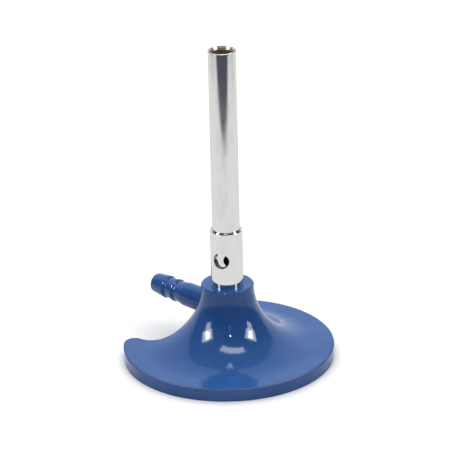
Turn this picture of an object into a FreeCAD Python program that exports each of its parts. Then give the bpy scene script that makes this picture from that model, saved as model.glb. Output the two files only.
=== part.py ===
import FreeCAD, Part
import math
import os

from FreeCAD import Vector

# Bunsen burner, millimetres, +Z up. The origin is on the bench, on the barrel's axis.
# The hose nozzle points along -X.

# Base casting: a round foot that flares up into a hub
base_radius = 50.0
rim_height = 6.2
rim_land = 7.5
hub_radius = 12.5
hub_height = 37.2
hub_land = 1.0
edge_chamfer = 0.5
casting_wall = 3.2
foot_width = 4.0
floor_metal = 1.5
hollow_corner_round = 1.0

# Crescent notch under the nozzle
notch_inset = 12.25
notch_metal = 0.3
horn_round = 5.0

# Hose nozzle
nozzle_drop = 14.0
nozzle_length = 36.5
nozzle_root_radius = 5.8
nozzle_body_length = 14.4
nozzle_waist_radius = 4.8
nozzle_bore_radius = 2.75
nozzle_thread_radius = 4.0
nozzle_thread_length = 6.0
spot_face_depth = 0.4
barb_crest_radius = 5.5
barb_foot_radius = 4.7
barb_land = 0.8
barb_back = 1.0
barb_length = 6.3
tip_barb_length = 9.3
tip_radius = 4.7
tip_chamfer = 1.0

# Burner tube
tube_length = 87.4
tube_radius = 6.5
tube_bore_radius = 5.1
mouth_chamfer = 1.0
mouth_chamfer_depth = 1.4
lip_chamfer = 0.15

# Mixer neck inside the collar
neck_radius = 6.3
neck_bore_radius = 4.7
neck_thread_radius = 5.7
neck_thread_length = 6.0
neck_foot_chamfer = 0.5
neck_flange_radius = 6.9
neck_flange_height = 1.7
neck_hole_radius = 3.5
neck_hole_azimuth = -26.0
spigot_length = 12.0
spigot_step = 0.85
spigot_lead = 0.2

# Air collar
collar_length = 25.9
collar_wall = 1.3
collar_chamfer = 0.6
collar_chamfer_height = 0.75
collar_foot_chamfer = 0.3
collar_hole_radius = 3.9
collar_hole_azimuth = -67.0
air_hole_rise = 12.2

# Friction ring in a groove of the neck
ring_drop = 4.0
ring_height = 1.0
ring_thickness = 0.3
ring_split = 1.6
ring_split_azimuth = 116.0

# Gas jet and its washer
jet_thread_radius = 2.5
jet_thread_length = 5.0
jet_flats = 6.5
jet_hex_height = 3.0
jet_hex_chamfer = 0.4
jet_stem_radius = 2.9
jet_cone_length = 5.5
jet_tip_radius = 1.5
jet_bore_radius = 1.3
orifice_radius = 0.5
orifice_length = 1.6
jet_tip_drop = 3.4
washer_radius = 3.9
washer_thickness = 0.8
gas_way_radius = 2.0

# Clearances
thread_clearance = 0.05
running_clearance = 0.05
flange_clearance = 0.05
collar_end_play = 0.1
socket_relief = 0.4
ring_side_clearance = 0.05
ring_grip_clearance = 0.02
ring_floor_clearance = 0.03
washer_clearance = 0.1
spot_face_clearance = 0.1

# Levels along the barrel's axis
socket_floor = hub_height - neck_thread_length - socket_relief
flange_low = hub_height + flange_clearance
flange_top = hub_height + neck_flange_height
collar_low = flange_top + collar_end_play
collar_high = collar_low + collar_length
shoulder = collar_high + collar_end_play
spigot_top = shoulder + spigot_length
tube_top = shoulder + tube_length
air_hole_height = collar_low + air_hole_rise
groove_low = shoulder - ring_drop - ring_height - 2 * ring_side_clearance
groove_high = shoulder - ring_drop
nozzle_height = hub_height - nozzle_drop
hub_floor = nozzle_height - nozzle_root_radius - floor_metal
jet_seat = socket_floor + washer_thickness
jet_tip = air_hole_height - collar_hole_radius - jet_tip_drop
jet_foot = socket_floor - jet_thread_length

# Radii and reaches that follow from the sizes above
flare_reach = base_radius - rim_land
flare_top = hub_height - hub_land
notch_floor = hub_radius + notch_metal
notch_centre = base_radius - notch_inset
notch_radius = notch_centre - notch_floor
nozzle_seat = notch_floor - spot_face_depth
spigot_radius = neck_radius - spigot_step
collar_bore_radius = neck_radius + running_clearance
collar_radius = collar_bore_radius + collar_wall
ring_outer_radius = collar_bore_radius - ring_grip_clearance
ring_inner_radius = ring_outer_radius - ring_thickness
groove_floor_radius = ring_inner_radius - ring_floor_clearance
washer_hole_radius = jet_thread_radius + washer_clearance

UP = Vector(0, 0, 1)
ORIGIN = Vector(0, 0, 0)
QUARTER_ARC_PULL = 4.0 / 3.0 * (math.sqrt(2.0) - 1.0)
NEAR = 0.01


def at(radius, height):
    """Point of a half profile, to be turned about the Z axis."""
    return Vector(radius, 0, height)


def line(start, end):
    return Part.LineSegment(start, end).toShape()


def turned(points):
    """Solid of revolution about the Z axis from the corners of its half profile."""
    outline = Part.makePolygon([at(*point) for point in points + points[:1]])
    return Part.Face(outline).revolve(ORIGIN, UP, 360)


def drill(radius, start, end):
    """Round cutter from one point to another."""
    reach = end - start
    return Part.makeCylinder(radius, reach.Length, start, reach)


def flared_foot(rim_radius):
    """Solid under the flare: a level ring at the foot, then a quarter oval up to the hub's wall."""
    drop = QUARTER_ARC_PULL * (flare_top - rim_height)
    pull = QUARTER_ARC_PULL * (flare_reach - hub_radius)
    oval = Part.BezierCurve()
    oval.setPoles([
        at(hub_radius, flare_top),
        at(hub_radius, flare_top - drop),
        at(flare_reach - pull, rim_height),
        at(flare_reach, rim_height),
    ])
    corners = [
        at(hub_radius, flare_top),
        at(0, flare_top),
        at(0, 0),
        at(rim_radius, 0),
        at(rim_radius, rim_height),
        at(flare_reach, rim_height),
    ]
    edges = [line(start, end) for start, end in zip(corners, corners[1:])]
    outline = Part.Wire(Part.__sortEdges__(edges + [oval.toShape()]))
    return Part.Face(outline).revolve(ORIGIN, UP, 360)


def edges_where(shape, test):
    """Edges whose middle point passes a test."""
    chosen = []
    for edge in shape.Edges:
        middle = edge.valueAt((edge.FirstParameter + edge.LastParameter) / 2)
        if test(middle):
            chosen.append(edge)
    return chosen


def circles_at(shape, radius, height):
    """Round edges about the Z axis, of one radius, at one height."""
    return edges_where(shape, lambda p: abs(math.hypot(p.x, p.y) - radius) < NEAR
                       and abs(p.z - height) < NEAR)


def beside(outline, point):
    """Whether a point stands above an outline drawn on the bench."""
    below = Part.Vertex(Vector(point.x, point.y, 0))
    return outline.distToShape(below)[0] < NEAR


def flip(point):
    """The same point on the other side of the nozzle's plane."""
    return Vector(point.x, -point.y, point.z)


def foot_plan(inset, corner):
    """Face of the foot's outline drawn in by an inset: a disc, a crescent bite, rounded horns."""
    rim = base_radius - inset
    bite = notch_radius + inset
    middle = Vector(-notch_centre, 0, 0)
    to_rim = rim - corner
    to_bite = bite + corner
    horn_x = -(notch_centre ** 2 + to_rim ** 2 - to_bite ** 2) / (2 * notch_centre)
    horn = Vector(horn_x, math.sqrt(to_rim ** 2 - horn_x ** 2), 0)
    on_rim = horn * (rim / to_rim)
    on_bite = middle + (horn - middle) * (bite / to_bite)
    outward = (on_rim - horn) + (on_bite - horn)
    on_horn = horn + outward.normalize() * corner
    curves = [
        Part.Arc(flip(on_rim), Vector(rim, 0, 0), on_rim),
        Part.Arc(on_rim, on_horn, on_bite),
        Part.Arc(on_bite, middle + Vector(bite, 0, 0), flip(on_bite)),
        Part.Arc(flip(on_bite), flip(on_horn), flip(on_rim)),
    ]
    return Part.Face(Part.Wire([curve.toShape() for curve in curves]))


def casting_outside():
    """Foot, flare and hub, with the notch cut through and the edges eased."""
    flare = flared_foot(base_radius + horn_round)
    hub = Part.makeCylinder(hub_radius, hub_land, at(0, flare_top))
    plan = foot_plan(0, horn_round)
    body = flare.fuse(hub).common(plan.extrude(UP * hub_height)).removeSplitter()
    upper = edges_where(body, lambda p: p.z > rim_height - NEAR and beside(plan.OuterWire, p))
    return body.makeChamfer(edge_chamfer, upper + circles_at(body, hub_radius, hub_height))


def casting_hollow():
    """Recess under the foot and a cone under the flare, which keep the wall and a foot ring."""
    ceiling = rim_height - casting_wall
    across = flare_reach - hub_radius + casting_wall
    rise = flare_top - ceiling
    slope = across / rise
    touch_radius = flare_reach - across * math.sqrt(0.5)
    touch_height = flare_top - rise * math.sqrt(0.5)
    core = turned([
        (0, 0),
        (base_radius, 0),
        (base_radius, ceiling),
        (touch_radius + slope * (touch_height - ceiling), ceiling),
        (touch_radius - slope * (hub_floor - touch_height), hub_floor),
        (0, hub_floor),
    ])
    plan = foot_plan(foot_width, hollow_corner_round)
    return core.common(plan.extrude(UP * hub_floor)).removeSplitter()


def gas_drillings():
    """Screwed socket, jet hole, gas way and nozzle hole as one cutter."""
    socket = drill(neck_thread_radius + thread_clearance, at(0, socket_floor), at(0, hub_height))
    jet_hole = drill(jet_thread_radius + thread_clearance, at(0, jet_foot), at(0, socket_floor))
    down = drill(gas_way_radius, at(0, nozzle_height), at(0, jet_foot))
    thread_end = nozzle_seat - nozzle_thread_length
    across = drill(gas_way_radius, at(gas_way_radius, nozzle_height), at(-thread_end, nozzle_height))
    tapped = drill(nozzle_thread_radius + thread_clearance,
                   at(-thread_end, nozzle_height), at(-nozzle_seat, nozzle_height))
    spot_face = drill(nozzle_root_radius + spot_face_clearance,
                      at(-nozzle_seat, nozzle_height), at(-base_radius, nozzle_height))
    return socket.multiFuse([jet_hole, down, across, tapped, spot_face])


def base_casting():
    body = casting_outside()
    body = body.cut(casting_hollow())
    return body.cut(gas_drillings())


def hose_nozzle():
    """Barbed nozzle turned about its own axis, then laid along -X at its height on the hub."""
    tip_barb = nozzle_length - tip_barb_length
    root_barb = tip_barb - barb_length
    profile = [
        (nozzle_bore_radius, -nozzle_thread_length),
        (nozzle_thread_radius, -nozzle_thread_length),
        (nozzle_thread_radius, 0),
        (nozzle_root_radius, 0),
        (nozzle_root_radius, nozzle_body_length),
        (nozzle_waist_radius, root_barb - barb_back),
        (barb_crest_radius, root_barb),
        (barb_crest_radius, root_barb + barb_land),
        (barb_foot_radius, tip_barb - barb_back),
        (barb_crest_radius, tip_barb),
        (barb_crest_radius, tip_barb + barb_land),
        (tip_radius, nozzle_length - tip_chamfer),
        (tip_radius - tip_chamfer, nozzle_length),
        (nozzle_bore_radius, nozzle_length),
    ]
    nozzle = turned(profile)
    nozzle.rotate(ORIGIN, Vector(0, 1, 0), -90)
    nozzle.translate(at(-nozzle_seat, nozzle_height))
    return nozzle


def air_holes(radius, azimuth):
    """Cutter for two opposite round holes through a sleeve."""
    half = 2 * collar_radius
    across = Vector(math.cos(math.radians(azimuth)), math.sin(math.radians(azimuth)), 0)
    middle = at(0, air_hole_height)
    return drill(radius, middle - across * half, middle + across * half)


def mixer_neck():
    """Screwed neck with a flange on the hub, its air holes, the ring's groove and the tube's spigot."""
    foot = socket_floor + socket_relief
    neck = turned([
        (neck_bore_radius, foot),
        (neck_thread_radius - neck_foot_chamfer, foot),
        (neck_thread_radius, foot + neck_foot_chamfer),
        (neck_thread_radius, flange_low),
        (neck_flange_radius, flange_low),
        (neck_flange_radius, flange_top),
        (neck_radius, flange_top),
        (neck_radius, groove_low),
        (groove_floor_radius, groove_low),
        (groove_floor_radius, groove_high),
        (neck_radius, groove_high),
        (neck_radius, shoulder),
        (spigot_radius, shoulder),
        (spigot_radius, spigot_top - spigot_lead),
        (spigot_radius - spigot_lead, spigot_top),
        (neck_bore_radius, spigot_top),
    ])
    return neck.cut(air_holes(neck_hole_radius, neck_hole_azimuth))


def burner_tube():
    """Plain tube with a chamfered mouth and a counterbore that takes the neck's spigot."""
    return turned([
        (spigot_radius, shoulder),
        (tube_radius - lip_chamfer, shoulder),
        (tube_radius, shoulder + lip_chamfer),
        (tube_radius, tube_top - lip_chamfer),
        (tube_radius - lip_chamfer, tube_top),
        (tube_bore_radius + mouth_chamfer, tube_top),
        (tube_bore_radius, tube_top - mouth_chamfer_depth),
        (tube_bore_radius, spigot_top),
        (spigot_radius, spigot_top),
    ])


def air_collar():
    collar = turned([
        (collar_bore_radius, collar_low),
        (collar_radius - collar_foot_chamfer, collar_low),
        (collar_radius, collar_low + collar_foot_chamfer),
        (collar_radius, collar_high - collar_chamfer_height),
        (collar_radius - collar_chamfer, collar_high),
        (collar_bore_radius, collar_high),
    ])
    return collar.cut(air_holes(collar_hole_radius, collar_hole_azimuth))


def friction_ring():
    """Flat spring ring, split so that it can open over the neck."""
    low = groove_low + ring_side_clearance
    high = groove_high - ring_side_clearance
    ring = turned([
        (ring_inner_radius, low),
        (ring_outer_radius, low),
        (ring_outer_radius, high),
        (ring_inner_radius, high),
    ])
    split = Part.makeBox(2 * ring_outer_radius, ring_split, high - low, Vector(0, -ring_split / 2, low))
    split.rotate(ORIGIN, UP, ring_split_azimuth)
    return ring.cut(split)


def jet_washer():
    return turned([
        (washer_hole_radius, socket_floor),
        (washer_radius, socket_floor),
        (washer_radius, jet_seat),
        (washer_hole_radius, jet_seat),
    ])


def gas_jet():
    """Jet with a screwed shank, a hexagon, a tapered stem and a fine orifice."""
    hex_top = jet_seat + jet_hex_height
    corner = jet_flats / math.sqrt(3.0)
    angles = [math.radians(60 * step) for step in range(7)]
    rim = [Vector(corner * math.cos(a), corner * math.sin(a), jet_seat) for a in angles]
    hexagon = Part.Face(Part.makePolygon(rim)).extrude(Vector(0, 0, jet_hex_height))
    crown = turned([
        (0, jet_seat),
        (corner, jet_seat),
        (corner, hex_top - jet_hex_chamfer),
        (corner - jet_hex_chamfer, hex_top),
        (0, hex_top),
    ])
    stem = turned([
        (0, jet_foot),
        (jet_thread_radius, jet_foot),
        (jet_thread_radius, jet_seat),
        (jet_stem_radius, jet_seat),
        (jet_stem_radius, jet_tip - jet_cone_length),
        (jet_tip_radius, jet_tip),
        (0, jet_tip),
    ])
    way = turned([
        (0, jet_foot),
        (jet_bore_radius, jet_foot),
        (jet_bore_radius, jet_tip - orifice_length - jet_bore_radius),
        (orifice_radius, jet_tip - orifice_length),
        (orifice_radius, jet_tip),
        (0, jet_tip),
    ])
    return hexagon.common(crown).fuse(stem).cut(way).removeSplitter()


PIECES = [
    base_casting,
    hose_nozzle,
    mixer_neck,
    burner_tube,
    air_collar,
    friction_ring,
    gas_jet,
    jet_washer,
]

os.makedirs("parts", exist_ok=True)
for piece in PIECES:
    shape = piece()
    solids = len(shape.Solids)
    print(piece.__name__, "solids", solids, "valid", shape.isValid(), "mm3", round(shape.Volume, 1))
    shape.exportStep("parts/" + piece.__name__ + ".step")
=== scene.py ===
"""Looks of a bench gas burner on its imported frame, in metres: finishes, fine detail, studio, camera."""

import logging
import math
from dataclasses import dataclass, field
from enum import Enum

import bpy
import numpy as np
from mathutils import Matrix, Vector


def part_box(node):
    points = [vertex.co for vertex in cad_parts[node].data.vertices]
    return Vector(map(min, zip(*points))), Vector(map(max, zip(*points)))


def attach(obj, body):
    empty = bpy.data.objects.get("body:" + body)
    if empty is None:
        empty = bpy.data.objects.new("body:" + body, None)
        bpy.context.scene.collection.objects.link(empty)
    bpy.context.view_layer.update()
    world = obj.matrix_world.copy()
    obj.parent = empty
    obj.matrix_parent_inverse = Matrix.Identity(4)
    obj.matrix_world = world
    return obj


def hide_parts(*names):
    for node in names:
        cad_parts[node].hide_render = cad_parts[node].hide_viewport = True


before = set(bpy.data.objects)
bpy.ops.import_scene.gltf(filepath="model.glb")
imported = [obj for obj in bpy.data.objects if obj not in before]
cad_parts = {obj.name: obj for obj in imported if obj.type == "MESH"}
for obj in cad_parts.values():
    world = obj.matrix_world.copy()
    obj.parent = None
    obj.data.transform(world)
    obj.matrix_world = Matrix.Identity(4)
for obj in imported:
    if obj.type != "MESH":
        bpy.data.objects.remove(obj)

log = logging.getLogger("burner")
MM = 0.001
ABOVE_ALL = 1.0  # a height that no piece reaches, so that a mask which starts there is off
SHARP_CORNER = math.radians(32)
UPRIGHT = Vector((0.0, 0.0, 1.0))
WHITE = (1.0, 1.0, 1.0)
BLACK = (0.0, 0.0, 0.0)

Colour = tuple[float, float, float]
Span = tuple[float, float]
Socket = bpy.types.NodeSocket


def srgb(red: int, green: int, blue: int) -> Colour:
    """Linear colour of a display colour, by a curve that is straight near black and a power above.

    Args:
        red: Display red, 0 to 255.
        green: Display green, 0 to 255.
        blue: Display blue, 0 to 255.

    Returns:
        The same colour as three linear numbers.
    """
    shown = np.array([red, green, blue]) / 255.0
    linear = np.where(shown <= 0.04045, shown / 12.92, ((shown + 0.055) / 1.055) ** 2.4)
    return tuple(float(part) for part in linear)


@dataclass(frozen=True)
class Step:
    """A smooth step, from low at start to high at end."""

    start: float
    end: float
    low: float = 0.0
    high: float = 1.0


@dataclass(frozen=True)
class Lumps:
    """A soft noise: lumps for each metre, octaves of finer lumps and how strong these are.

    Where stretch is given, it is the lumps for each metre across and along the axis.
    """

    scale: float = 1.0
    detail: float = 2.0
    roughness: float = 0.5
    stretch: Span | None = None


@dataclass(frozen=True)
class Relief:
    """How a height tilts a surface: the depth of a height of 1, in metres, and the share that is kept."""

    depth: float
    strength: float


class Grain(Enum):
    """Fine tool marks of a metal: drawn along the axis, or turned round it."""

    DRAWN = Lumps(detail=3.0, roughness=0.6, stretch=(4500.0, 60.0))
    TURNED = Lumps(detail=3.0, roughness=0.6, stretch=(60.0, 7000.0))


class NodeGraph:
    """A node tree that is filled by short calls, most of which return an output socket."""

    MIX_INPUTS = (0, 6, 7)  # a mix node's factor and its two colours
    MIX_RESULT = 2  # and its colour output

    def __init__(self, tree: bpy.types.NodeTree) -> None:
        """Empties the tree and keeps it."""
        self.tree = tree
        tree.nodes.clear()

    def add(self, kind: str, **settings: object) -> bpy.types.Node:
        """Adds a node.

        Args:
            kind: Blender's name of the node type.
            **settings: Properties to set on the node.

        Returns:
            The new node.
        """
        node = self.tree.nodes.new(kind)
        for name, value in settings.items():
            setattr(node, name, value)
        return node

    def feed(self, socket: Socket, value: object) -> None:
        """Links a socket to another socket's output, or sets its own value.

        Args:
            socket: The input to feed.
            value: An output socket, a number, a colour or a vector.
        """
        if isinstance(value, bpy.types.NodeSocket):
            self.tree.links.new(value, socket)
        elif isinstance(value, tuple) and socket.type == "RGBA":
            socket.default_value = (*value, 1.0)
        else:
            socket.default_value = value

    def wire(self, node: bpy.types.Node, *places: object, **inputs: object) -> None:
        """Feeds a node's inputs.

        Args:
            node: The node.
            *places: What its first inputs get, in order.
            **inputs: What other inputs get, by name, with _ for each space.
        """
        for socket, value in zip(node.inputs, places):
            self.feed(socket, value)
        for words, value in inputs.items():
            self.feed(node.inputs[words.replace("_", " ")], value)

    def place(self) -> Socket:
        """Object coordinates of the shaded point."""
        return self.add("ShaderNodeTexCoord").outputs["Object"]

    def split(self, vector: Socket) -> tuple[Socket, Socket, Socket]:
        """Takes a vector apart.

        Args:
            vector: The vector.

        Returns:
            Its X, Y and Z.
        """
        node = self.add("ShaderNodeSeparateXYZ")
        self.wire(node, vector)
        return node.outputs[0], node.outputs[1], node.outputs[2]

    def vector_math(self, operation: str, first: Socket, second: tuple[float, float, float]) -> Socket:
        """One sum on two vectors.

        Args:
            operation: Blender's name of the operation.
            first: A vector.
            second: Three numbers.

        Returns:
            The resulting vector.
        """
        node = self.add("ShaderNodeVectorMath", operation=operation)
        self.wire(node, first, second)
        return node.outputs["Vector"]

    def math(self, operation: str, first: object, second: object) -> Socket:
        """One sum on two numbers.

        Args:
            operation: Blender's name of the operation.
            first: A socket or a number.
            second: A socket or a number.

        Returns:
            The result.
        """
        node = self.add("ShaderNodeMath", operation=operation)
        self.wire(node, first, second)
        return node.outputs[0]

    def radius(self, vector: Socket) -> Socket:
        """Distance of a point from the Z axis.

        Args:
            vector: The point.

        Returns:
            The distance.
        """
        node = self.add("ShaderNodeVectorMath", operation="LENGTH")
        self.wire(node, self.vector_math("MULTIPLY", vector, (1.0, 1.0, 0.0)))
        return node.outputs["Value"]

    def fade(self, value: Socket, step: Step) -> Socket:
        """Takes a number through a smooth step.

        Args:
            value: The number that drives the step.
            step: The step.

        Returns:
            The stepped number.
        """
        node = self.add("ShaderNodeMapRange", interpolation_type="SMOOTHSTEP")
        self.wire(node, value, step.start, step.end, step.low, step.high)
        return node.outputs["Result"]

    def noise(self, vector: Socket, lumps: Lumps) -> Socket:
        """Soft noise between 0 and 1.

        Args:
            vector: Where the noise is read.
            lumps: What the noise is like.

        Returns:
            The noise.
        """
        if lumps.stretch:
            across, along = lumps.stretch
            vector = self.vector_math("MULTIPLY", vector, (across, across, along))
        node = self.add("ShaderNodeTexNoise")
        self.wire(node, Vector=vector, Scale=lumps.scale, Detail=lumps.detail, Roughness=lumps.roughness)
        return node.outputs[0]

    def mix(self, factor: object, first: object, second: object) -> Socket:
        """Blends two colours.

        Args:
            factor: 0 for the first colour, 1 for the second.
            first: A colour or a socket.
            second: A colour or a socket.

        Returns:
            The blended colour.
        """
        node = self.add("ShaderNodeMix", data_type="RGBA")
        for number, value in zip(self.MIX_INPUTS, (factor, first, second)):
            self.feed(node.inputs[number], value)
        return node.outputs[self.MIX_RESULT]

    def bump(self, height: Socket, relief: Relief, normal: Socket | None = None) -> Socket:
        """Tilts the surface by a height.

        Args:
            height: Height between 0 and 1.
            relief: How far the height tilts the surface.
            normal: Normal to start from, if it isn't the surface's own.

        Returns:
            The tilted normal.
        """
        node = self.add("ShaderNodeBump")
        self.wire(node, Height=height, Distance=relief.depth, Strength=relief.strength)
        if normal is not None:
            self.wire(node, Normal=normal)
        return node.outputs[0]


class Surface(NodeGraph):
    """A material with one principled shader."""

    def __init__(self, name: str, **fixed: object) -> None:
        """Makes the material.

        Args:
            name: Name of the material.
            **fixed: Shader inputs that are the same all over, with _ for each space.
        """
        self.material = bpy.data.materials.new(name)
        self.material.use_nodes = True
        super().__init__(self.material.node_tree)
        self.shader = self.add("ShaderNodeBsdfPrincipled")
        self.wire(self.add("ShaderNodeOutputMaterial"), Surface=self.shader.outputs[0])
        self.wire(self.shader, **fixed)

    def shade(self, **inputs: object) -> bpy.types.Material:
        """Feeds shader inputs, with _ for each space in a name, and returns the material."""
        self.wire(self.shader, **inputs)
        return self.material


@dataclass(frozen=True)
class Enamel:
    """Glossy stoved enamel on a casting: an even blue with slight flow, a few specks and edges darkened
    by painted shade.

    A band is two distances from the rim or the notch: where the edge's painted shade and dulling start
    and where they are full.
    """

    colour: Colour = srgb(49, 92, 156)
    deep: Colour = srgb(42, 84, 148)
    # painted shade: a darker blue laid on the upper edges, standing in for the dark line they reflect
    edge_shade_colour: Colour = srgb(32, 74, 139)
    speck_colour: Colour = srgb(12, 22, 54)
    refractive_index: float = 1.36
    gloss: Step = Step(0.2, 0.8, 0.07, 0.12)
    flow: Lumps = Lumps(70.0, 3.0)
    flow_blend: Step = Step(0.3, 0.7)
    flow_relief: Relief = Relief(0.03 * MM, 0.5)
    peel: Lumps = Lumps(750.0, 1.0)
    peel_relief: Relief = Relief(0.004 * MM, 0.3)
    speck_cells: float = 210.0
    speck_size: Step = Step(0.085, 0.045)
    speckless_share: float = 0.55
    speck_relief: Relief = Relief(0.03 * MM, 0.5)
    rim_radius: float = 50 * MM
    rim_band: Span = (0.8 * MM, 0.3 * MM)
    notch_middle: float = -37.75 * MM
    notch_radius: float = 24.95 * MM
    notch_band: Span = (0.9 * MM, 0.35 * MM)
    notch_inset: float = 0.5 * MM
    edge_upward: Step = Step(0.15, 0.45)
    # how much of the painted edge shade is laid over the enamel's colour
    edge_shade_share: float = 0.8
    edge_dulling: float = 0.5

    def specks(self, graph: Surface, place: Socket) -> Socket:
        """Small dark grains in some cells of a cell pattern.

        Args:
            graph: The material's nodes.
            place: Object coordinates.

        Returns:
            1 on a grain and 0 elsewhere.
        """
        cells = graph.add("ShaderNodeTexVoronoi")
        graph.wire(cells, Vector=place, Scale=self.speck_cells)
        chance = graph.split(cells.outputs["Color"])[0]
        grain = graph.fade(cells.outputs["Distance"], self.speck_size)
        return graph.math("MULTIPLY", grain, graph.math("GREATER_THAN", chance, self.speckless_share))

    def edges(self, graph: Surface, place: Socket) -> Socket:
        """Band along the upper edges of the rim and of the notch, where the enamel is duller and darkened
        by painted shade.

        Args:
            graph: The material's nodes.
            place: Object coordinates.

        Returns:
            1 on the edges, fading to 0 on the faces.
        """
        rim = Step(self.rim_radius - self.rim_band[0], self.rim_radius - self.rim_band[1])
        outside = Step(self.notch_radius + self.notch_band[0], self.notch_radius + self.notch_band[1])
        inside = Step(self.notch_radius - self.notch_inset, self.notch_radius)
        reach = graph.radius(graph.vector_math("SUBTRACT", place, (self.notch_middle, 0.0, 0.0)))
        notch = graph.math("MULTIPLY", graph.fade(reach, outside), graph.fade(reach, inside))
        band = graph.math("MAXIMUM", graph.fade(graph.radius(place), rim), notch)
        upward = graph.split(graph.add("ShaderNodeNewGeometry").outputs["Normal"])[2]
        return graph.math("MULTIPLY", band, graph.fade(upward, self.edge_upward))

    def material(self, name: str) -> bpy.types.Material:
        """Builds the finish.

        Args:
            name: Name of the material.

        Returns:
            The material.
        """
        graph = Surface(name, IOR=self.refractive_index)
        place = graph.place()
        flow = graph.noise(place, self.flow)
        edges = self.edges(graph, place)
        specks = self.specks(graph, place)
        colour = graph.mix(graph.fade(flow, self.flow_blend), self.deep, self.colour)
        # painted shade: darkens the upper edges of the rim and the notch
        colour = graph.mix(graph.math("MULTIPLY", edges, self.edge_shade_share), colour, self.edge_shade_colour)
        colour = graph.mix(specks, colour, self.speck_colour)
        normal = graph.bump(flow, self.flow_relief)
        normal = graph.bump(graph.noise(place, self.peel), self.peel_relief, normal)
        normal = graph.bump(specks, self.speck_relief, normal)
        dulled = graph.math("MULTIPLY", edges, self.edge_dulling)
        rough = graph.math("ADD", graph.fade(flow, self.gloss), dulled)
        return graph.shade(Base_Color=colour, Roughness=rough, Normal=normal)


@dataclass(frozen=True)
class Plating:
    """Bright nickel over brass, with fine tool marks, faint clouds, and a bare bore browned by use.

    The brown ends at the mouth's height, where the inside has the bore's radius. Above it the chamfer,
    which widens by the splay, is worn bright, and the lip is browned a little. The margin lets the bore's
    mask end just outside the wall, and the dulling starts a little below the mouth.
    """

    grain: Grain
    roughness: float
    bore: float
    mouth: float = ABOVE_ALL
    lip: float = ABOVE_ALL
    splay: float = 1.0 / 1.4
    colour: Colour = (0.675, 0.675, 0.665)
    cloud_colour: Colour = (0.6, 0.6, 0.585)
    brown: Colour = (0.27, 0.21, 0.145)
    dark: Colour = (0.14, 0.11, 0.08)
    worn: Colour = (0.74, 0.68, 0.56)
    specular_tint: Colour = (0.8, 0.8, 0.8)
    mark_gloss: Step = Step(0.3, 0.8, -0.01, 0.04)
    mark_relief: Relief = Relief(0.002 * MM, 0.25)
    clouds: Lumps = Lumps(detail=4.0, roughness=0.6, stretch=(260.0, 90.0))
    cloud_blend: Step = Step(0.45, 0.8)
    cloud_range: Span = (0.3, 0.8)
    cloud_dulling: float = 0.05
    pits: Lumps = Lumps(1100.0, 3.0, 0.6)
    pit_size: Step = Step(0.69, 0.76)
    pit_tint: float = 0.5
    streaks: Lumps = Lumps(detail=3.0, stretch=(900.0, 40.0))
    streak_blend: Step = Step(0.3, 0.7)
    bore_margin: Span = (0.07 * MM, 0.04 * MM)
    bore_metal: Step = Step(0.0, 1.0, 1.0, 0.5)
    bore_dulling: float = 0.36
    dulling_depth: Span = (0.1 * MM, 0.6 * MM)
    chamfer_rise: Step = Step(0.0, 0.12 * MM)
    chamfer_metal_loss: float = 0.55
    lip_rise: float = 0.1 * MM
    lip_tint: float = 0.4
    lip_dulling: float = 0.25

    def inner_masks(self, graph: Surface, place: Socket) -> tuple[Socket, Socket]:
        """The bore, and the chamfer that widens it from the mouth's height up by a fixed splay.

        Args:
            graph: The material's nodes.
            place: Object coordinates.

        Returns:
            1 in the bore, and 1 on the chamfer, each 0 elsewhere.
        """
        rise = graph.math("SUBTRACT", graph.split(place)[2], self.mouth)
        rise = graph.math("MAXIMUM", rise, 0.0)
        reach = graph.math("SUBTRACT", graph.radius(place), graph.math("MULTIPLY", rise, self.splay))
        wall = Step(self.bore + self.bore_margin[0], self.bore + self.bore_margin[1])
        inside = graph.fade(reach, wall)
        chamfer = graph.math("MULTIPLY", inside, graph.fade(rise, self.chamfer_rise))
        return graph.math("SUBTRACT", inside, chamfer), chamfer

    def material(self, name: str) -> bpy.types.Material:
        """Builds the finish.

        Args:
            name: Name of the material.

        Returns:
            The material.
        """
        graph = Surface(name, Specular_Tint=self.specular_tint)
        place = graph.place()
        height = graph.split(place)[2]
        clouds = graph.noise(place, self.clouds)
        marks = graph.noise(place, self.grain.value)
        inside, chamfer = self.inner_masks(graph, place)
        lip = graph.fade(height, Step(self.lip, self.lip + self.lip_rise))
        lip = graph.math("MAXIMUM", graph.math("SUBTRACT", lip, chamfer), 0.0)

        colour = graph.mix(graph.fade(clouds, self.cloud_blend), self.colour, self.cloud_colour)
        pits = graph.fade(graph.noise(place, self.pits), self.pit_size)
        colour = graph.mix(graph.math("MULTIPLY", pits, self.pit_tint), colour, self.dark)
        streaks = graph.fade(graph.noise(place, self.streaks), self.streak_blend)
        colour = graph.mix(chamfer, colour, self.worn)
        colour = graph.mix(inside, colour, graph.mix(streaks, self.dark, self.brown))
        colour = graph.mix(graph.math("MULTIPLY", lip, self.lip_tint), colour, self.brown)

        gloss = Step(*self.cloud_range, self.roughness, self.roughness + self.cloud_dulling)
        sunk = Step(self.mouth - self.dulling_depth[0], self.mouth - self.dulling_depth[1])
        deep = graph.math("MULTIPLY", inside, graph.fade(height, sunk))
        dulled = graph.math("MULTIPLY", deep, self.bore_dulling)
        rough = graph.math("ADD", graph.fade(clouds, gloss), dulled)
        rough = graph.math("ADD", rough, graph.math("MULTIPLY", lip, self.lip_dulling))
        rough = graph.math("ADD", rough, graph.fade(marks, self.mark_gloss))

        worn_off = graph.math("MULTIPLY", chamfer, self.chamfer_metal_loss)
        metal = graph.math("SUBTRACT", graph.fade(inside, self.bore_metal), worn_off)
        normal = graph.bump(marks, self.mark_relief)
        return graph.shade(Base_Color=colour, Metallic=metal, Roughness=rough, Normal=normal)


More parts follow.
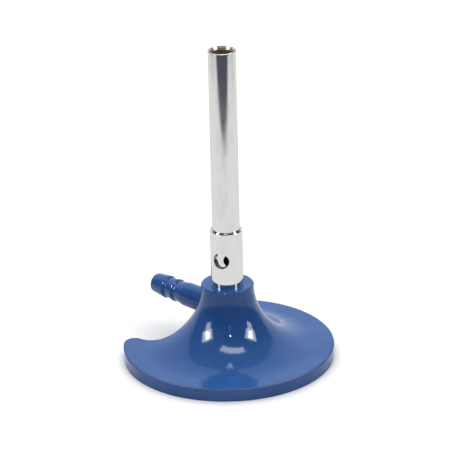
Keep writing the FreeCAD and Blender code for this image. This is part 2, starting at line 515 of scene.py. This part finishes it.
@dataclass(frozen=True)
class BareMetal:
    """Metal with no coat: a colour that dulls in patches, and fine turned marks."""

    colour: Colour
    dulled: Colour
    roughness: float = 0.25
    patches: Lumps = Lumps(500.0, 3.0)
    patch_blend: Step = Step(0.35, 0.75)
    patch_range: Span = (0.3, 0.8)
    patch_dulling: float = 0.15
    marks: Lumps = Lumps(stretch=(60.0, 6000.0))
    mark_gloss: Step = Step(0.3, 0.8, -0.03, 0.05)
    mark_relief: Relief = Relief(0.004 * MM, 0.3)

    def material(self, name: str) -> bpy.types.Material:
        """Builds the finish.

        Args:
            name: Name of the material.

        Returns:
            The material.
        """
        graph = Surface(name, Metallic=1.0)
        place = graph.place()
        patches = graph.noise(place, self.patches)
        marks = graph.noise(place, self.marks)
        colour = graph.mix(graph.fade(patches, self.patch_blend), self.colour, self.dulled)
        gloss = Step(*self.patch_range, self.roughness, self.roughness + self.patch_dulling)
        rough = graph.math("ADD", graph.fade(patches, gloss), graph.fade(marks, self.mark_gloss))
        normal = graph.bump(marks, self.mark_relief)
        return graph.shade(Base_Color=colour, Roughness=rough, Normal=normal)


def placed(name: str, data: bpy.types.ID) -> bpy.types.Object:
    """Puts a mesh, a lamp or a camera into the scene.

    Args:
        name: Name of the new object.
        data: What the object holds.

    Returns:
        The object, at the origin.
    """
    holder = bpy.data.objects.new(name, data)
    bpy.context.scene.collection.objects.link(holder)
    return holder


def smooth(mesh: bpy.types.Mesh) -> None:
    """Shades a mesh smooth, with its corners kept sharp."""
    mesh.shade_smooth()
    mesh.set_sharp_from_angle(angle=SHARP_CORNER)


def mesh_piece(name: str, points: np.ndarray) -> bpy.types.Object:
    """Closed surface over a grid that wraps both ways, such as a section carried round an axis.

    Each cell of the grid becomes a quad. The sum over all quads of the volume between the quad and the
    origin tells whether they face outwards, and if it is negative their order is turned round.

    Args:
        name: Name of the piece.
        points: Grid of points, section by section, in metres: shape (sections, points of a section, 3).

    Returns:
        The piece, smooth with sharp corners kept.
    """
    rows, columns = points.shape[:2]
    numbers = np.arange(rows * columns).reshape(rows, columns)
    beside = np.roll(numbers, -1, axis=0)
    corners = [numbers, beside, np.roll(beside, -1, axis=1), np.roll(numbers, -1, axis=1)]
    quads = np.stack(corners, axis=-1).reshape(-1, 4)
    flat = points.reshape(-1, 3)
    corner = flat[quads]
    volume = np.einsum("ij,ij->i", corner[:, 0], np.cross(corner[:, 1], corner[:, 2])).sum()
    volume += np.einsum("ij,ij->i", corner[:, 0], np.cross(corner[:, 2], corner[:, 3])).sum()
    if volume < 0:
        quads = quads[:, ::-1]
    mesh = bpy.data.meshes.new(name)
    mesh.from_pydata(flat, [], quads)
    smooth(mesh)
    return placed(name, mesh)


def turns(around: int) -> np.ndarray:
    """Angles in equal steps over one turn, as a column."""
    return np.linspace(0.0, 2 * np.pi, around, endpoint=False)[:, None]


def upright_ring(radius: np.ndarray, height: np.ndarray, angle: np.ndarray) -> np.ndarray:
    """Points about the Z axis: the radius times the angle's cosine and sine, at the height.

    Args:
        radius: Distance from the axis.
        height: Height above the bench.
        angle: Angles round the axis, as a column.

    Returns:
        Grid of points, one row for each angle.
    """
    points = np.broadcast_arrays(radius * np.cos(angle), radius * np.sin(angle), height)
    return np.stack(points, axis=-1)


def eased(profile: np.ndarray, reach: float, steps: int = 6, most: float = 0.45) -> np.ndarray:
    """Rounds every corner of a closed profile.

    Each corner becomes a parabola, drawn by its two tangents: it leaves one side at a reach before the
    corner and joins the next side as far after it.

    Args:
        profile: Corners in order, shape (corners, 2).
        reach: How far from a corner its rounding starts, in metres.
        steps: Points over each rounding.
        most: Largest share of a side that a rounding takes up.

    Returns:
        Points of the rounded profile.
    """
    back = np.roll(profile, 1, axis=0) - profile
    ahead = np.roll(profile, -1, axis=0) - profile
    start = profile + back * np.minimum(reach / np.linalg.norm(back, axis=1, keepdims=True), most)
    end = profile + ahead * np.minimum(reach / np.linalg.norm(ahead, axis=1, keepdims=True), most)
    part = np.linspace(0.0, 1.0, steps)[None, :, None]
    curve = (1 - part) ** 2 * start[:, None] + 2 * part * (1 - part) * profile[:, None]
    return (curve + part ** 2 * end[:, None]).reshape(-1, 2)


@dataclass(frozen=True)
class AirHoles:
    """Two opposite round holes through an upright tube."""

    radius: float
    height: float
    azimuth: float
    tip: float = 0.001 * MM

    def bar(self, reach: float, around: int = 96) -> bpy.types.Object:
        """Round bar through the axis, which cuts both holes.

        A circle is carried along a level line, and closes to a point at each end.

        Args:
            reach: Half of the bar's length.
            around: Steps round the bar.

        Returns:
            The bar.
        """
        along = np.array([-reach, -reach, reach, reach])[None, :]
        girth = np.array([self.tip, self.radius, self.radius, self.tip])[None, :]
        angle = turns(around)
        side = girth * np.cos(angle)
        points = np.stack([
            along * math.cos(self.azimuth) - side * math.sin(self.azimuth),
            along * math.sin(self.azimuth) + side * math.cos(self.azimuth),
            self.height + girth * np.sin(angle),
        ], axis=-1)
        return mesh_piece("air_hole_bar", points)

    def drill(self, piece: bpy.types.Object, reach: float) -> None:
        """Cuts the holes.

        Args:
            piece: The tube to cut.
            reach: Half of the cutting bar's length.
        """
        bar = self.bar(reach)
        cut = piece.modifiers.new("air holes", "BOOLEAN")
        cut.operation = "DIFFERENCE"
        cut.solver = "EXACT"
        cut.object = bar
        bpy.context.view_layer.update()
        whole = piece.data
        drilled = piece.evaluated_get(bpy.context.evaluated_depsgraph_get())
        piece.data = bpy.data.meshes.new_from_object(drilled)
        piece.modifiers.clear()
        bpy.data.meshes.remove(whole)
        bpy.data.meshes.remove(bar.data)
        piece.data.name = piece.name
        smooth(piece.data)


def dress(node: str, material: bpy.types.Material) -> None:
    """Gives a CAD node its material, in its own slot.

    Args:
        node: Name of the node.
        material: Its finish.
    """
    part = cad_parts[node]
    if not part.material_slots:
        part.data.materials.append(material)
    part.material_slots[0].material = material
    log.info("%s: %s", node, material.name)


def add_piece(piece: bpy.types.Object, body: str, material: bpy.types.Material) -> None:
    """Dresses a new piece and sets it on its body.

    Args:
        piece: The new piece.
        body: Body that it moves with.
        material: Its finish.
    """
    piece.data.materials.append(material)
    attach(piece, body)
    log.info("%s: %s, %d faces", piece.name, material.name, len(piece.data.polygons))


@dataclass
class HoseNozzle:
    """Barbed nozzle, with its corners eased by the enamel.

    Lengths count from its seat in the hub. A barb's back is its height times the back slope long.
    """

    height: float = 23.2 * MM
    seat: float = 12.4 * MM
    bore: float = 2.75 * MM
    thread_radius: float = 4.0 * MM
    thread_length: float = 6.0 * MM
    root_radius: float = 5.8 * MM
    body: float = 14.4 * MM
    waist_radius: float = 4.8 * MM
    root_barb: float = 20.9 * MM
    tip_barb: float = 27.2 * MM
    crest_radius: float = 5.5 * MM
    groove_radius: float = 4.7 * MM
    crest: float = 0.8 * MM
    back_slope: float = 1.317
    tip: float = 36.5 * MM
    tip_radius: float = 4.7 * MM
    tip_chamfer: float = 1.0 * MM
    ease: float = 0.5 * MM

    def profile(self) -> np.ndarray:
        """Half profile of the screwed shank, the body, the two barbs, the tip and the bore.

        Returns:
            Corners in order, each as a radius and a distance from the seat.
        """
        waist_end = self.root_barb - self.back_slope * (self.crest_radius - self.waist_radius)
        groove_end = self.tip_barb - self.back_slope * (self.crest_radius - self.groove_radius)
        return np.array([
            (self.bore, -self.thread_length),
            (self.thread_radius, -self.thread_length),
            (self.thread_radius, 0.0),
            (self.root_radius, 0.0),
            (self.root_radius, self.body),
            (self.waist_radius, waist_end),
            (self.crest_radius, self.root_barb),
            (self.crest_radius, self.root_barb + self.crest),
            (self.groove_radius, groove_end),
            (self.crest_radius, self.tip_barb),
            (self.crest_radius, self.tip_barb + self.crest),
            (self.tip_radius, self.tip - self.tip_chamfer),
            (self.tip_radius - self.tip_chamfer, self.tip),
            (self.bore, self.tip),
        ])

    def surface(self, around: int = 128) -> bpy.types.Object:
        """Turns the eased profile about the nozzle's own axis, which points along -X.

        Args:
            around: Steps round the axis.

        Returns:
            The piece.
        """
        profile = eased(self.profile(), self.ease)
        angle = turns(around)
        radius, along = profile[None, :, 0], profile[None, :, 1]
        points = np.broadcast_arrays(
            -(self.seat + along),
            radius * np.sin(angle),
            self.height + radius * np.cos(angle),
        )
        return mesh_piece("hose_nozzle_eased", np.stack(points, axis=-1))

    def build(self, enamel: bpy.types.Material) -> None:
        """Puts the eased nozzle in place of the plain one.

        Args:
            enamel: Its finish.
        """
        nozzle = self.surface()
        add_piece(nozzle, "base", enamel)
        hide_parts("hose_nozzle")


@dataclass
class Foot:
    """Enamelled casting and its hose nozzle, with the enamel that fills the joint between them."""

    finish: Enamel = field(default_factory=Enamel)
    nozzle: HoseNozzle = field(default_factory=HoseNozzle)
    flare_radius: float = 30 * MM
    hub_radius: float = 12.5 * MM
    flare_top: float = 36.2 * MM
    fillet: float = 0.9 * MM
    sunk: float = 0.08 * MM

    def wall(self, across: np.ndarray, height: np.ndarray) -> np.ndarray:
        """How far out the casting's wall stands beside the nozzle.

        The flare is a quarter circle turned about the barrel's axis, and the notch is an upright round
        cut. The wall is whichever of the two lies nearer the axis.

        Args:
            across: Distance from the nozzle's plane.
            height: Height above the bench.

        Returns:
            X of the wall.
        """
        drop = self.flare_top - height
        girth = self.hub_radius + self.flare_radius - np.sqrt(self.flare_radius ** 2 - drop ** 2)
        flare = -np.sqrt(girth ** 2 - across ** 2)
        notch = self.finish.notch_middle + np.sqrt(self.finish.notch_radius ** 2 - across ** 2)
        return np.maximum(flare, notch)

    def joint_fillet(self, around: int = 160, over: int = 12) -> bpy.types.Object:
        """Fillet of enamel round the nozzle's root.

        A section is carried round the nozzle: it starts on the nozzle a fillet's width out from the
        wall, follows a curve that leaves the nozzle along it and meets the wall along it, and closes
        behind, in the joint.

        Args:
            around: Sections round the nozzle.
            over: Points over each section's curve.

        Returns:
            The piece.
        """
        angle = turns(around)
        blend = np.linspace(0.0, 1.0, over)[None, :]
        spread = self.fillet * blend ** 2
        lift = self.fillet * (1.0 - blend) ** 2
        spread = np.concatenate([spread, [[0.0]]], axis=1) - self.sunk
        lift = np.concatenate([lift, [[-2 * self.sunk]]], axis=1) - self.sunk
        ring = self.nozzle.root_radius + spread
        across = ring * np.sin(angle)
        height = self.nozzle.height + ring * np.cos(angle)
        out = self.wall(across, height) - lift
        return mesh_piece("nozzle_enamel_fillet", np.stack([out, across, height], axis=-1))

    def build(self) -> None:
        """Dresses the casting and adds the nozzle and the fillet."""
        enamel = self.finish.material("blue_enamel")
        dress("base_casting", enamel)
        self.nozzle.build(enamel)
        add_piece(self.joint_fillet(), "base", enamel)


@dataclass
class Barrel:
    """Plated tube and the screwed neck under it."""

    tube_finish: Plating = Plating(Grain.DRAWN, 0.1, bore=5.53 * MM, mouth=151.6 * MM, lip=152.0 * MM)
    neck_finish: Plating = Plating(Grain.TURNED, 0.12, bore=4.7 * MM)
    neck_radius: float = 6.3 * MM
    flange_radius: float = 6.9 * MM
    flange_low: float = 37.25 * MM
    flange_top: float = 38.9 * MM
    bore_radius: float = 4.7 * MM
    spigot_radius: float = 5.45 * MM
    spigot_lead: float = 0.2 * MM
    groove_radius: float = 6.0 * MM
    groove_low: float = 59.9 * MM
    groove_high: float = 61.0 * MM
    shoulder: float = 65.0 * MM
    foot_chamfer: float = 0.5 * MM
    thread_radius: float = 5.7 * MM
    thread_length: float = 6.0 * MM
    thread_depth: float = 0.4 * MM
    pitch: float = 1.0 * MM
    tooth_slope: float = 1.7
    tooth_crest: float = 0.35
    holes: AirHoles = AirHoles(3.5 * MM, 51.2 * MM, math.radians(-26.0))

    def thread_cut(self, rise: np.ndarray, angle: np.ndarray) -> np.ndarray:
        """Depth of the neck's thread.

        The groove is a saw of one tooth for each pitch, clipped flat at crest and root, that climbs one
        pitch for each turn. It fades in above the foot and out before the thread's end.

        Args:
            rise: Height above the neck's foot.
            angle: Angle round the axis.

        Returns:
            Depth below the thread's crest.
        """
        phase = np.mod(rise / self.pitch - angle / (2 * np.pi), 1.0)
        tooth = np.clip(self.tooth_slope * np.abs(2.0 * phase - 1.0) - self.tooth_crest, 0.0, 1.0)
        fade_in = np.clip(rise / self.foot_chamfer, 0.0, 1.0)
        fade_out = np.clip((self.thread_length - rise) / self.foot_chamfer, 0.0, 1.0)
        return self.thread_depth * tooth * fade_in * fade_out

    def threaded_neck(self, around: int = 144, along: int = 150) -> bpy.types.Object:
        """Neck turned from its half profile, with the thread cut in and the air holes drilled.

        The profile goes up the outside, past the flange, over the spigot and down the bore. It is turned
        about the axis, and within the thread's length its radius is less by the depth of the thread at
        that height and angle.

        Args:
            around: Steps round the axis.
            along: Steps up the thread.

        Returns:
            The piece.
        """
        low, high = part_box("mixer_neck")
        foot, top = low.z, high.z
        screw = np.linspace(foot + self.foot_chamfer, foot + self.thread_length, along)
        profile = np.concatenate([
            [(self.bore_radius, foot), (self.thread_radius - self.foot_chamfer, foot)],
            np.column_stack([np.full(along, self.thread_radius), screw]),
            [
                (self.thread_radius, self.flange_low),
                (self.flange_radius, self.flange_low),
                (self.flange_radius, self.flange_top),
                (self.neck_radius, self.flange_top),
                (self.neck_radius, self.groove_low),
                (self.groove_radius, self.groove_low),
                (self.groove_radius, self.groove_high),
                (self.neck_radius, self.groove_high),
                (self.neck_radius, self.shoulder),
                (self.spigot_radius, self.shoulder),
                (self.spigot_radius, top - self.spigot_lead),
                (self.spigot_radius - self.spigot_lead, top),
                (self.bore_radius, top),
            ],
        ])
        angle = turns(around)
        radius, height = profile[None, :, 0], profile[None, :, 1]
        cut = self.thread_cut(height - foot, angle) * (radius == self.thread_radius)
        neck = mesh_piece("mixer_neck_threaded", upright_ring(radius - cut, height, angle))
        self.holes.drill(neck, 2 * self.neck_radius)
        return neck

    def build(self) -> None:
        """Dresses the tube and replaces the neck by one with a cut thread."""
        dress("burner_tube", self.tube_finish.material("plated_tube"))
        neck = self.threaded_neck()
        neck_metal = self.neck_finish.material("plated_neck")
        add_piece(neck, "barrel", neck_metal)
        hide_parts("mixer_neck")


@dataclass
class AirRegulator:
    """Turning collar with a fine bevel round its top, and the spring ring that keeps it where it is."""

    collar_finish: Plating = Plating(Grain.TURNED, 0.05, bore=6.35 * MM)
    ring_finish: BareMetal = BareMetal((0.5, 0.51, 0.53), (0.34, 0.34, 0.36))
    bore: float = 6.35 * MM
    radius: float = 7.65 * MM
    foot_chamfer: float = 0.3 * MM
    bevel_width: float = 0.36 * MM
    bevel_height: float = 0.4 * MM
    holes: AirHoles = AirHoles(3.9 * MM, 51.2 * MM, math.radians(-67.0))

    def bevelled_collar(self, around: int = 192) -> bpy.types.Object:
        """Collar turned about the axis from its half profile, with the air holes drilled.

        Args:
            around: Steps round the axis.

        Returns:
            The piece.
        """
        low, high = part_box("air_collar")
        profile = np.array([
            (self.bore, low.z),
            (self.radius - self.foot_chamfer, low.z),
            (self.radius, low.z + self.foot_chamfer),
            (self.radius, high.z - self.bevel_height),
            (self.radius - self.bevel_width, high.z),
            (self.bore, high.z),
        ])
        points = upright_ring(profile[None, :, 0], profile[None, :, 1], turns(around))
        collar = mesh_piece("air_collar_bevelled", points)
        self.holes.drill(collar, 2 * self.radius)
        return collar

    def build(self) -> None:
        """Puts the bevelled collar in place of the plain one, and dresses the ring."""
        collar = self.bevelled_collar()
        add_piece(collar, "air_collar", self.collar_finish.material("plated_collar"))
        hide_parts("air_collar")
        dress("friction_ring", self.ring_finish.material("spring_steel"))


@dataclass
class JetFitting:
    """Brass jet and its sealing washer."""

    jet_finish: BareMetal = BareMetal(srgb(196, 158, 92), srgb(132, 98, 52))
    washer_finish: BareMetal = BareMetal((0.68, 0.69, 0.7), (0.5, 0.5, 0.51), roughness=0.35)

    def build(self) -> None:
        """Dresses the jet and the washer."""
        dress("gas_jet", self.jet_finish.material("jet_brass"))
        dress("jet_washer", self.washer_finish.material("washer_aluminium"))


@dataclass
class PhotoView:
    """Camera at the photograph's place, in the frame of a burner whose nozzle points along -X.

    The sensor's width is in millimetres, as Blender counts it.
    """

    azimuth: float = math.radians(45.0)
    distance: float = 1.045
    height: float = 0.504
    sideways: float = -0.00044
    pitch: float = math.radians(22.71)
    roll: float = math.radians(1.40)
    focal_pixels: float = 2433.0
    frame_pixels: float = 450.0
    sensor_width: float = 36.0
    clip_start: float = 0.05

    def right(self) -> Vector:
        """Level direction to the right of the view."""
        return Vector((math.cos(self.azimuth), math.sin(self.azimuth), 0.0))

    def away(self) -> Vector:
        """Level direction away from the viewer."""
        return Vector((-math.sin(self.azimuth), math.cos(self.azimuth), 0.0))

    def towards(self, bearing: float, elevation: float, distance: float) -> Vector:
        """Point seen from the burner, by its bearing from the camera's side.

        Args:
            bearing: Degrees to the right of the line to the camera.
            elevation: Degrees above the horizon.
            distance: Metres from the axis at bench height.

        Returns:
            The point.
        """
        turn, rise = math.radians(bearing), math.radians(elevation)
        level = math.sin(turn) * self.right() - math.cos(turn) * self.away()
        return distance * (math.cos(rise) * level + math.sin(rise) * UPRIGHT)

    def build(self) -> None:
        """Makes the camera and sets it as the scene's."""
        lens = bpy.data.cameras.new("photo_camera")
        lens.sensor_width = self.sensor_width
        lens.lens = self.sensor_width * self.focal_pixels / self.frame_pixels
        lens.clip_start = self.clip_start
        forward = math.cos(self.pitch) * self.away() - math.sin(self.pitch) * UPRIGHT
        level_up = math.sin(self.pitch) * self.away() + math.cos(self.pitch) * UPRIGHT
        right = math.cos(self.roll) * self.right() - math.sin(self.roll) * level_up
        up = math.sin(self.roll) * self.right() + math.cos(self.roll) * level_up
        place = self.sideways * self.right() - self.distance * self.away() + self.height * UPRIGHT
        turn = Matrix((right, up, -forward)).transposed().to_4x4()
        camera = placed("photo_camera", lens)
        camera.matrix_world = Matrix.Translation(place) @ turn
        bpy.context.scene.camera = camera
        log.info("camera: lens %.1f mm", lens.lens)


@dataclass(frozen=True)
class SoftBox:
    """A rectangular lamp that faces the burner.

    Bearing and elevation are in degrees. A mirrored lamp is seen in gloss, and one that fills lights the
    matt colours.
    """

    name: str
    bearing: float
    elevation: float
    distance: float
    width: float
    height: float
    radiance: float
    mirrored: bool = True
    fills: bool = True
    aim_height: float = 40 * MM

    def build(self, view: PhotoView) -> None:
        """Makes the lamp.

        Args:
            view: The camera, from whose side bearings count.
        """
        lamp = bpy.data.lights.new(self.name, "AREA")
        lamp.shape = "RECTANGLE"
        lamp.size = self.width
        lamp.size_y = self.height
        lamp.energy = self.radiance * math.pi * self.width * self.height
        place = view.towards(self.bearing, self.elevation, self.distance)
        holder = placed(self.name, lamp)
        holder.location = place
        holder.rotation_euler = (self.aim_height * UPRIGHT - place).to_track_quat("-Z", "Y").to_euler()
        holder.visible_camera = False
        holder.visible_glossy = self.mirrored
        holder.visible_diffuse = self.fills


@dataclass
class Studio:
    """White table with a near front edge, a pale backdrop, a dark room round them, and soft lamps.

    Only mirror-like surfaces show the backdrop and the dark room. The narrow lamps are seen in gloss
    alone, and the ceiling light and an even surround light the colours.
    """

    table_front: float = 0.299
    table_side: float = 0.46
    table_back: float = 1.3
    table_steps: int = 5
    table_colours: tuple[Colour, Colour] = ((0.9, 0.9, 0.9), (0.93, 0.93, 0.93))
    table_mottle: Lumps = Lumps(25.0)
    table_shown: Step = Step(0.07, 0.2, 0.03, 0.15)
    table_mirrored: float = 0.05
    backdrop_behind: float = 0.7
    backdrop_left: float = -1.3
    backdrop_right: float = 0.96
    backdrop_height: float = 1.43
    backdrop_colour: Colour = (0.92, 1.0, 1.16)
    room_radius: float = 3.0
    room_low: float = -50.0
    room_high: float = 89.9
    room_colour: Colour = (0.092, 0.101, 0.13)
    fill: float = 0.15
    lamps: tuple[SoftBox, ...] = (
        SoftBox("left_strip", -70.5, 40.5, 2.0, 0.78, 0.58, 14.0, fills=False),
        SoftBox("left_strip_core", -70.0, 40.5, 2.0, 0.24, 0.36, 100.0, fills=False),
        SoftBox("left_strip_tail", -69.5, 27.0, 2.0, 0.46, 0.46, 11.0, fills=False),
        SoftBox("right_strip", 72.0, 40.5, 2.0, 0.78, 0.58, 14.0, fills=False),
        SoftBox("right_strip_core", 71.5, 40.5, 2.0, 0.24, 0.36, 100.0, fills=False),
        SoftBox("right_strip_tail", 72.5, 27.0, 2.0, 0.46, 0.46, 11.0, fills=False),
        SoftBox("overhead_bar", 15.0, 74.5, 2.0, 1.16, 0.37, 11.0, fills=False),
        SoftBox("small_lamp", 5.0, 48.0, 2.0, 0.1, 0.07, 70.0, fills=False),
        SoftBox("small_lamp_stem", 4.0, 35.0, 2.0, 0.07, 0.4, 4.0, fills=False),
        SoftBox("ceiling_light", 180.0, 79.0, 1.8, 2.4, 2.4, 2.72, mirrored=False),
    )

    def sheet(self, name: str, points: np.ndarray, material: bpy.types.Material) -> bpy.types.Object:
        """Open sheet over a grid of points.

        Args:
            name: Name of the sheet.
            points: Grid of points, in metres.
            material: Its material.

        Returns:
            The sheet.
        """
        rows, columns = points.shape[:2]
        numbers = np.arange(rows * columns).reshape(rows, columns)
        corners = [numbers[:-1, :-1], numbers[1:, :-1], numbers[1:, 1:], numbers[:-1, 1:]]
        mesh = bpy.data.meshes.new(name)
        mesh.from_pydata(points.reshape(-1, 3), [], np.stack(corners, axis=-1).reshape(-1, 4))
        mesh.materials.append(material)
        sheet = placed(name, mesh)
        return sheet

    def mirrored(self, graph: NodeGraph) -> Socket:
        """1 on rays from mirror-like or clear surfaces, otherwise 0."""
        path = graph.add("ShaderNodeLightPath").outputs
        return graph.math("MAXIMUM", path["Is Glossy Ray"], path["Is Transmission Ray"])

    def camera_ray(self, graph: NodeGraph) -> Socket:
        """1 on rays from the camera, otherwise 0."""
        return graph.add("ShaderNodeLightPath").outputs["Is Camera Ray"]

    def table_white(self) -> bpy.types.Material:
        """Pale table top: a matt white that keeps shadows.

        It glows a little to the camera, more so away from the burner, and a little in metal.

        Returns:
            The material.
        """
        material = bpy.data.materials.new("table_white")
        material.use_nodes = True
        graph = NodeGraph(material.node_tree)
        place = graph.place()
        matt = graph.add("ShaderNodeBsdfDiffuse")
        graph.wire(matt, Color=graph.mix(graph.noise(place, self.table_mottle), *self.table_colours))
        glows = graph.fade(graph.radius(place), self.table_shown)
        shown = graph.math("MULTIPLY", self.camera_ray(graph), glows)
        mirrored = graph.math("MULTIPLY", self.mirrored(graph), self.table_mirrored)
        glow = graph.add("ShaderNodeEmission")
        graph.wire(glow, Strength=graph.math("ADD", shown, mirrored))
        both = graph.add("ShaderNodeAddShader")
        graph.wire(both, matt.outputs[0], glow.outputs[0])
        graph.wire(graph.add("ShaderNodeOutputMaterial"), Surface=both.outputs[0])
        return material

    def surroundings(self) -> None:
        """White all round where it is seen, and a plain level of light from it."""
        world = bpy.data.worlds.new("surroundings")
        world.use_nodes = True
        graph = NodeGraph(world.node_tree)
        white = graph.add("ShaderNodeBackground")
        graph.wire(white, Color=WHITE)
        light = graph.add("ShaderNodeBackground")
        graph.wire(light, Color=WHITE, Strength=self.fill)
        seen = graph.math("MAXIMUM", self.camera_ray(graph), self.mirrored(graph))
        pick = graph.add("ShaderNodeMixShader")
        graph.wire(pick, seen, light.outputs[0], white.outputs[0])
        graph.wire(graph.add("ShaderNodeOutputWorld"), Surface=pick.outputs[0])
        bpy.context.scene.world = world

    def mirror_sheet(self, name: str, points: np.ndarray, colour: Colour) -> None:
        """Evenly bright sheet that only mirror-like surfaces show.

        Args:
            name: Name of the sheet and of its material.
            points: Grid of points, in metres.
            colour: Its brightness.
        """
        graph = Surface(name, Base_Color=BLACK, Specular_IOR_Level=0.0)
        material = graph.shade(Emission_Color=colour, Emission_Strength=1.0)
        sheet = self.sheet(name, points, material)
        sheet.visible_camera = False
        sheet.visible_diffuse = False
        sheet.visible_shadow = False

    def backdrop(self, view: PhotoView) -> None:
        """Upright pale sheet behind the burner, square to the view: across it one way, up it the other.

        Args:
            view: The camera, whose directions the sheet follows.
        """
        across = np.array([self.backdrop_left, self.backdrop_right])[:, None, None]
        height = np.array([0.0, self.backdrop_height])[None, :, None]
        points = across * np.array(view.right()) + height * np.array(UPRIGHT)
        points = points + self.backdrop_behind * np.array(view.away())
        self.mirror_sheet("white_backdrop", points, self.backdrop_colour)

    def dark_room(self, around: int = 65, upward: int = 33) -> None:
        """Dark room: a sphere about the burner, with bearings round it and elevations in degrees up it.

        Args:
            around: Points round the room.
            upward: Points up the room.
        """
        bearing = np.linspace(0.0, 2 * np.pi, around)[:, None]
        rise = np.radians(np.linspace(self.room_low, self.room_high, upward))[None, :]
        points = self.room_radius * upright_ring(np.cos(rise), np.sin(rise), bearing)
        self.mirror_sheet("dark_room", points, self.room_colour)

    def table(self, view: PhotoView) -> None:
        """Flat table, level with the burner's foot, whose near edge is square to the view.

        Args:
            view: The camera, whose directions the table follows.
        """
        across = np.linspace(-self.table_side, self.table_side, self.table_steps)[:, None, None]
        along = np.linspace(-self.table_front, self.table_back, self.table_steps)[None, :, None]
        points = across * np.array(view.right()) + along * np.array(view.away())
        self.sheet("table_top", points, self.table_white())

    def build(self, view: PhotoView) -> None:
        """Sets the studio up round the burner.

        Args:
            view: The camera, whose directions the studio follows.
        """
        bpy.context.scene.view_settings.view_transform = "Standard"
        self.surroundings()
        self.table(view)
        self.backdrop(view)
        self.dark_room()
        for lamp in self.lamps:
            lamp.build(view)
        log.info("studio: %d lamps", len(self.lamps))


def main() -> None:
    """Dresses the burner, piece by piece, and sets up the studio."""
    logging.basicConfig(level=logging.INFO, format="%(message)s")
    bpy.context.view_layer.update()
    view = PhotoView()
    view.build()
    for assembly in (Foot(), Barrel(), AirRegulator(), JetFitting()):
        assembly.build()
    Studio().build(view)


if __name__ == "__main__":
    main()
